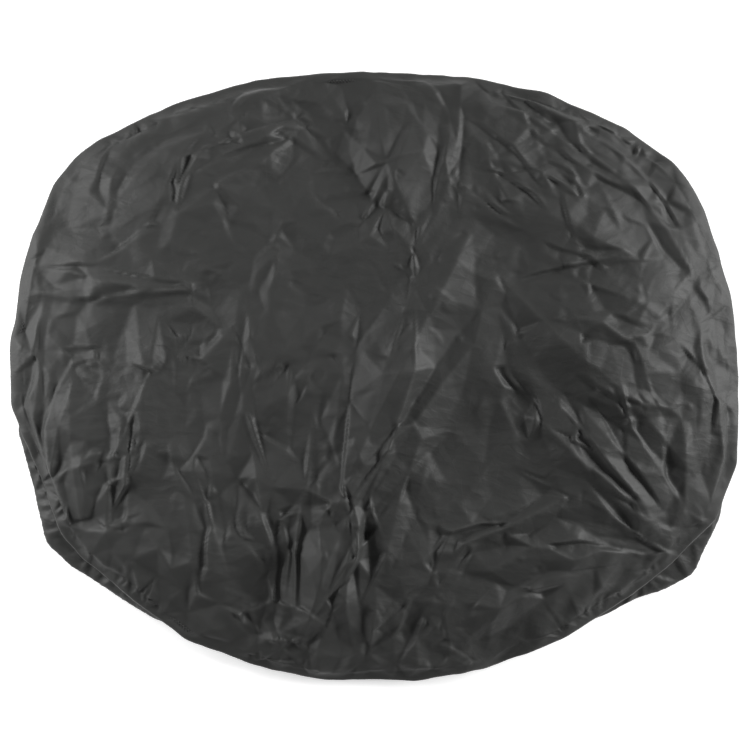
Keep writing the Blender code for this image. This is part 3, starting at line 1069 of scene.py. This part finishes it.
# Its threads are laid down on the cloth from this height, and where there is none at that level.
CLOSING_FROM = 0.0075
CLOSING_LEVEL = 0.0015
CLOSING_LIFT = 0.0006


def closed_loop(verts, ids):
    """The chosen points in order of their angle round the middle."""
    angle = np.arctan2(verts[ids, 1], verts[ids, 0])
    return ids[np.argsort(angle)]


def add_rows(verts, tris, pattern, loop, rows):
    """Carries a sheet on from one of its edges: each row is drawn in by metres and lifted."""
    count = len(loop)
    edge = verts[loop]
    reach = np.hypot(edge[:, 0], edge[:, 1])[:, None]
    before = loop
    for inward, lift in rows:
        row = edge.copy()
        row[:, :2] *= 1 - inward / reach
        row[:, 2] = np.maximum(row[:, 2] + lift, TURNED_LOWEST + inward * 0.1)
        ids = np.arange(len(verts), len(verts) + count)
        verts = np.vstack([verts, row])
        pattern = np.vstack([pattern, pattern[loop] * (1 + inward / FLAT_RADIUS)])
        a, b = before, ids
        c, d = np.roll(before, -1), np.roll(ids, -1)
        tris = np.vstack([tris, np.stack([a, b, d], axis=1), np.stack([a, d, c], axis=1)])
        before = ids
    return verts, tris, pattern


def ring_faces(first, second, sides):
    """Triangles between two rings of points that are numbered on from first and from second."""
    here = np.arange(sides)
    beside = (here + 1) % sides
    a, b, c, d = first + here, second + here, first + beside, second + beside
    return [np.stack([a, c, d], axis=1), np.stack([a, d, b], axis=1)]


def sweep(section_rows, closed_section):
    """Triangles between successive closed rows of points; the section may be closed as well."""
    rows = np.array(section_rows)
    number, count = rows.shape[:2]
    tris = []
    for index in range(number if closed_section else number - 1):
        tris += ring_faces(index * count, (index + 1) % number * count, count)
    return rows.reshape(-1, 3), np.vstack(tris)


def tube(path, radius, sides=6, closed=False):
    """A round thread along a path, with tapered ends unless it is closed."""
    path = np.asarray(path, float)
    count = len(path)
    if closed:
        along = np.roll(path, -1, axis=0) - np.roll(path, 1, axis=0)
    else:
        along = np.gradient(path, axis=0)
    along /= np.linalg.norm(along, axis=1)[:, None]
    aside = np.cross(along, (0, 0, 1.0))
    aside /= np.maximum(np.linalg.norm(aside, axis=1), 1e-9)[:, None]
    over = np.cross(aside, along)
    size = np.full(count, radius)
    if not closed:
        size[0] = size[-1] = 0.35 * radius
    turn = 2 * math.pi * np.arange(sides) / sides
    ring = aside[:, None, :] * np.cos(turn)[None, :, None] + over[:, None, :] * np.sin(turn)[None, :, None]
    verts = (path[:, None, :] + ring * size[:, None, None]).reshape(-1, 3)
    tris = []
    for index in range(count if closed else count - 1):
        tris += ring_faces(index * sides, (index + 1) % count * sides, sides)
    if not closed:
        first = np.arange(1, sides - 1)
        tris.append(np.stack([np.zeros(sides - 2, int), first + 1, first], axis=1))
        last = (count - 1) * sides
        tris.append(np.stack([np.full(sides - 2, last), last + first, last + first + 1], axis=1))
    return verts, np.vstack(tris)


def joined(shapes):
    verts, tris, start = [], [], 0
    for points, faces in shapes:
        verts.append(points)
        tris.append(faces + start)
        start += len(points)
    return np.vstack(verts), np.vstack(tris)


def even_path(path, step, closed):
    """Points a fixed step apart along a path."""
    path = np.asarray(path, float)
    if closed:
        path = np.vstack([path, path[:1]])
    along = running_total(np.linalg.norm(np.diff(path, axis=0), axis=1))
    count = max(2, int(round(along[-1] / step)))
    places = np.linspace(0, along[-1], count, endpoint=not closed)
    return np.stack([np.interp(places, along, path[:, k]) for k in range(3)], axis=1)


def stitches(path, stitch, closed, lift=0.0003):
    """Separate stitches along a path, each arching over the cloth and going in at both ends."""
    arch = np.array([-0.4, 0.7, 1.0, 1.0, 0.7, -0.4])
    fine_path = even_path(path, (stitch + STITCH_GAP) / len(arch), closed)
    shapes = []
    for start in range(0, len(fine_path) - len(arch), len(arch)):
        run = fine_path[start:start + len(arch)].copy()
        run[:, 2] += lift * arch
        shapes.append(tube(run, THREAD_RADIUS))
    return joined(shapes)


def overlock(path, closed):
    """A thread that crosses a raw edge from side to side as it runs along it."""
    line = even_path(path, OVERLOCK_PITCH / 4, closed)
    ahead = np.roll(line, -1, axis=0) - np.roll(line, 1, axis=0)
    if not closed:
        ahead = np.gradient(line, axis=0)
    aside = np.stack([-ahead[:, 1], ahead[:, 0], np.zeros(len(line))], axis=1)
    aside /= np.linalg.norm(aside, axis=1)[:, None]
    swing = np.array([0.0, 1.0, 0.0, -1.0])[np.arange(len(line)) % 4]
    line = line + aside * (swing * OVERLOCK_HALF_WIDTH)[:, None]
    line[:, 2] += 0.0002 * np.abs(swing)
    return tube(line, THREAD_RADIUS, 5, closed)


def finish_piece(name, verts, tris, material, node, uv=None):
    """A piece of the cover that takes the place of one CAD node."""
    piece = make_object(name, verts, tris, material, uv)
    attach(piece, "root")
    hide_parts(node)
    return piece


cloth = cloth_material("laid_cloth")
thread = thread_material("twisted_thread", 0.030, 900, 0.5)
webbing = thread_material("ribbed_webbing", 0.035, 420, 0.1)

# The face panel and the side band meet at the seam, where both are turned inside.
seam_ids = np.intersect1d(np.unique(fine_faces[fine_groups == 0]), np.unique(fine_faces[fine_groups == 1]))
seam_loop = closed_loop(fine, seam_ids)
seam_line = fine[seam_loop]


def cloth_part(group, turn):
    """One group of the fine cloth's faces as a sheet of its own, turned inside along the seam."""
    verts, tris, pattern = add_rows(fine, fine_faces[fine_groups == group], fine_pattern, seam_loop, turn)
    return used_part(verts, tris, pattern)


face_verts, face_tris, face_uv = cloth_part(0, FACE_TURN)
face = finish_piece("face_panel_cloth", face_verts, face_tris, cloth, "face_panel", face_uv)
band_verts, band_tris, band_uv = cloth_part(1, BAND_TURN)
band = finish_piece("side_band_cloth", band_verts, band_tris, cloth, "side_band", band_uv)

# The hem casing and everything else at the mouth follow the same wandering, gathered hem.
hem_theta = 2 * math.pi * np.arange(HEM_POINTS) / HEM_POINTS
hem_outline = hem_reach(hem_theta)
hem_height = gathered_height(np.ones(len(hem_theta)), hem_theta)
ripple = hem_height - hem_height.mean()
hem_wander = 0.004 * np.sin(5 * hem_theta + 1.0) + 0.003 * np.sin(9 * hem_theta)


def hem_row(scale, height):
    """A closed row of points that follows the hem, at a share of its outline and a height."""
    radius = hem_outline * (scale + hem_wander)
    height = np.broadcast_to(height, radius.shape)
    return np.stack([radius * np.cos(hem_theta), radius * np.sin(hem_theta), height], axis=1)


casing_rows = []
for scale, lift, rippled in CASING_SECTION:
    casing_rows.append(hem_row(scale, hem_height.mean() + lift + ripple * rippled))
casing_verts, casing_tris = sweep(casing_rows, False)
casing_along = running_total(np.hypot(*np.diff(casing_rows[0][:, :2], axis=0).T))
casing_uv = []
for k in range(len(casing_rows)):
    casing_uv.append(np.stack([casing_along * CASING_EASE, np.full(HEM_POINTS, CASING_ROW * k)], axis=1))
casing_uv = np.vstack(casing_uv)
casing = finish_piece("hem_casing_cloth", casing_verts, casing_tris, cloth, "hem_casing", casing_uv)

# The elastic inside it: flat webbing with ribs along it.
elastic_rows = []
for step in range(ELASTIC_SIDES):
    turn = 2 * math.pi * step / ELASTIC_SIDES
    across = math.copysign(abs(math.cos(turn)) ** 0.45, math.cos(turn))
    rib = 1 + 0.12 * math.cos(8 * math.pi * across)
    up = math.copysign(abs(math.sin(turn)) ** 0.45, math.sin(turn)) * rib
    level = ELASTIC_HEIGHT + ELASTIC_HALF_THICKNESS * up + 0.0002 * np.sin(31 * hem_theta)
    elastic_rows.append(hem_row(ELASTIC_MIDDLE + ELASTIC_HALF_WIDTH * across, level))
elastic_verts, elastic_tris = sweep(elastic_rows[::-1], True)
elastic = finish_piece("hem_elastic_webbing", elastic_verts, elastic_tris, webbing, "hem_elastic")

join = hem_row(ELASTIC_MIDDLE, TACK_HEIGHT)[0]
tack = []
for k in range(TACK_POINTS):
    swing = TACK_SWING if k % 2 else -TACK_SWING
    tack.append(join + (swing, TACK_LENGTH * (k / (TACK_POINTS - 1) - 0.5), 0))
tack_shape = tube(even_path(tack, 0.0012, False), THREAD_RADIUS)
elastic_join = finish_piece("elastic_join_thread", *tack_shape, thread, "elastic_join_stitching")

hem_path = hem_row(HEM_STITCH_SHARE, hem_height.mean() + HEM_STITCH_LIFT + ripple)
hem_shape = stitches(hem_path, HEM_STITCH, True)
hem_stitch = finish_piece("hem_stitch_thread", *hem_shape, thread, "hem_stitching")


def drawn_in(inward, lift):
    """The seam's line drawn in towards the middle and lifted, for the threads inside the cover."""
    reach = np.hypot(seam_line[:, 0], seam_line[:, 1])[:, None]
    out = seam_line.copy()
    out[:, :2] *= 1 - inward / reach
    out[:, 2] = np.maximum(out[:, 2] + lift, THREAD_LOWEST)
    return out


seam_shape = stitches(drawn_in(*SEAM_THREAD), SEAM_STITCH, True, -0.0003)
seam_stitch = finish_piece("face_seam_thread", *seam_shape, thread, "face_seam_stitching")
overlock_shape = overlock(drawn_in(*SEAM_EDGE), True)
seam_overlock = finish_piece("face_seam_overlock_thread", *overlock_shape, thread, "face_seam_overlock")

# The band's two ends are closed by a straight seam, under the cover.
band_tree = BVHTree.FromPolygons(band_verts.tolist(), band_tris.tolist())


def closing_line(aside):
    """A line across the band's depth, lying on the inside of its cloth."""
    edge = float(radius_at(cover_outline, np.array([CLOSING_TURN]))[0])
    out = []
    for share in np.linspace(*CLOSING_SHARES, CLOSING_POINTS):
        px = edge * share * math.cos(CLOSING_TURN) - aside * math.sin(CLOSING_TURN)
        py = edge * share * math.sin(CLOSING_TURN) + aside * math.cos(CLOSING_TURN)
        hit = band_tree.ray_cast(Vector((px, py, CLOSING_FROM)), Vector((0, 0, -1)))[0]
        out.append((px, py, (hit.z if hit is not None else CLOSING_LEVEL) + CLOSING_LIFT))
    return np.array(out)


closing_shape = stitches(closing_line(0.0), SEAM_STITCH, False)
closing = finish_piece("band_seam_thread", *closing_shape, thread, "band_seam_stitching")
edge_shape = overlock(closing_line(CLOSING_EDGE), False)
closing_edge = finish_piece("band_seam_overlock_thread", *edge_shape, thread, "band_seam_overlock")

# ---------------------------------------------------------------- stage
FLOOR_REACH = 6
floor_mesh = bpy.data.meshes.new("studio_floor")
floor_corners = [(-1, -1), (1, -1), (1, 1), (-1, 1)]
floor_mesh.from_pydata([(FLOOR_REACH * a, FLOOR_REACH * b, 0) for a, b in floor_corners], [], [(0, 1, 2, 3)])
floor = bpy.data.objects.new("studio_floor", floor_mesh)
bpy.context.scene.collection.objects.link(floor)
pale = Nodes("pale_floor")
pale.look({"Base Color": (0.9, 0.9, 0.9, 1), "Roughness": 0.9})
pale.look({"Emission Color": (1, 1, 1, 1), "Emission Strength": 0.45})
floor_mesh.materials.append(pale.material)


def add_softbox(name, place, target, wide, high, power):
    light = bpy.data.lights.new(name, "AREA")
    light.shape = "RECTANGLE"
    light.size = wide
    light.size_y = high
    light.energy = power
    lamp = bpy.data.objects.new(name, light)
    lamp.location = place
    lamp.rotation_euler = (Vector(target) - Vector(place)).to_track_quat("-Z", "Y").to_euler()
    bpy.context.scene.collection.objects.link(lamp)


add_softbox("softbox_right", (4.4, 1.3, 1.9), (0, 0, 0), 3.0, 1.8, 355)
add_softbox("softbox_left", (-1.15, 0.25, 0.45), (-0.2, 0, 0), 0.9, 0.4, 15)

world = bpy.data.worlds.new("studio")
bpy.context.scene.world = world
world.use_nodes = True
world.node_tree.nodes["Background"].inputs["Color"].default_value = (1, 1, 1, 1)
world.node_tree.nodes["Background"].inputs["Strength"].default_value = 0.29

camera_data = bpy.data.cameras.new("camera")
camera_data.lens = 85
camera_data.sensor_width = 36
camera = bpy.data.objects.new("camera", camera_data)
# The cover fills this share of the picture's width and lies a little below its middle.
COVER_FILLS = 0.974
LOOKS_ABOVE = 0.0022
SHARPEST_AT = 0.02
frame_width = cover_sides[0] / COVER_FILLS
distance = frame_width * camera_data.lens / camera_data.sensor_width
camera.location = (0.0, LOOKS_ABOVE, SHARPEST_AT + distance)
bpy.context.scene.collection.objects.link(camera)
bpy.context.scene.camera = camera
bpy.context.scene.view_settings.view_transform = "Standard"
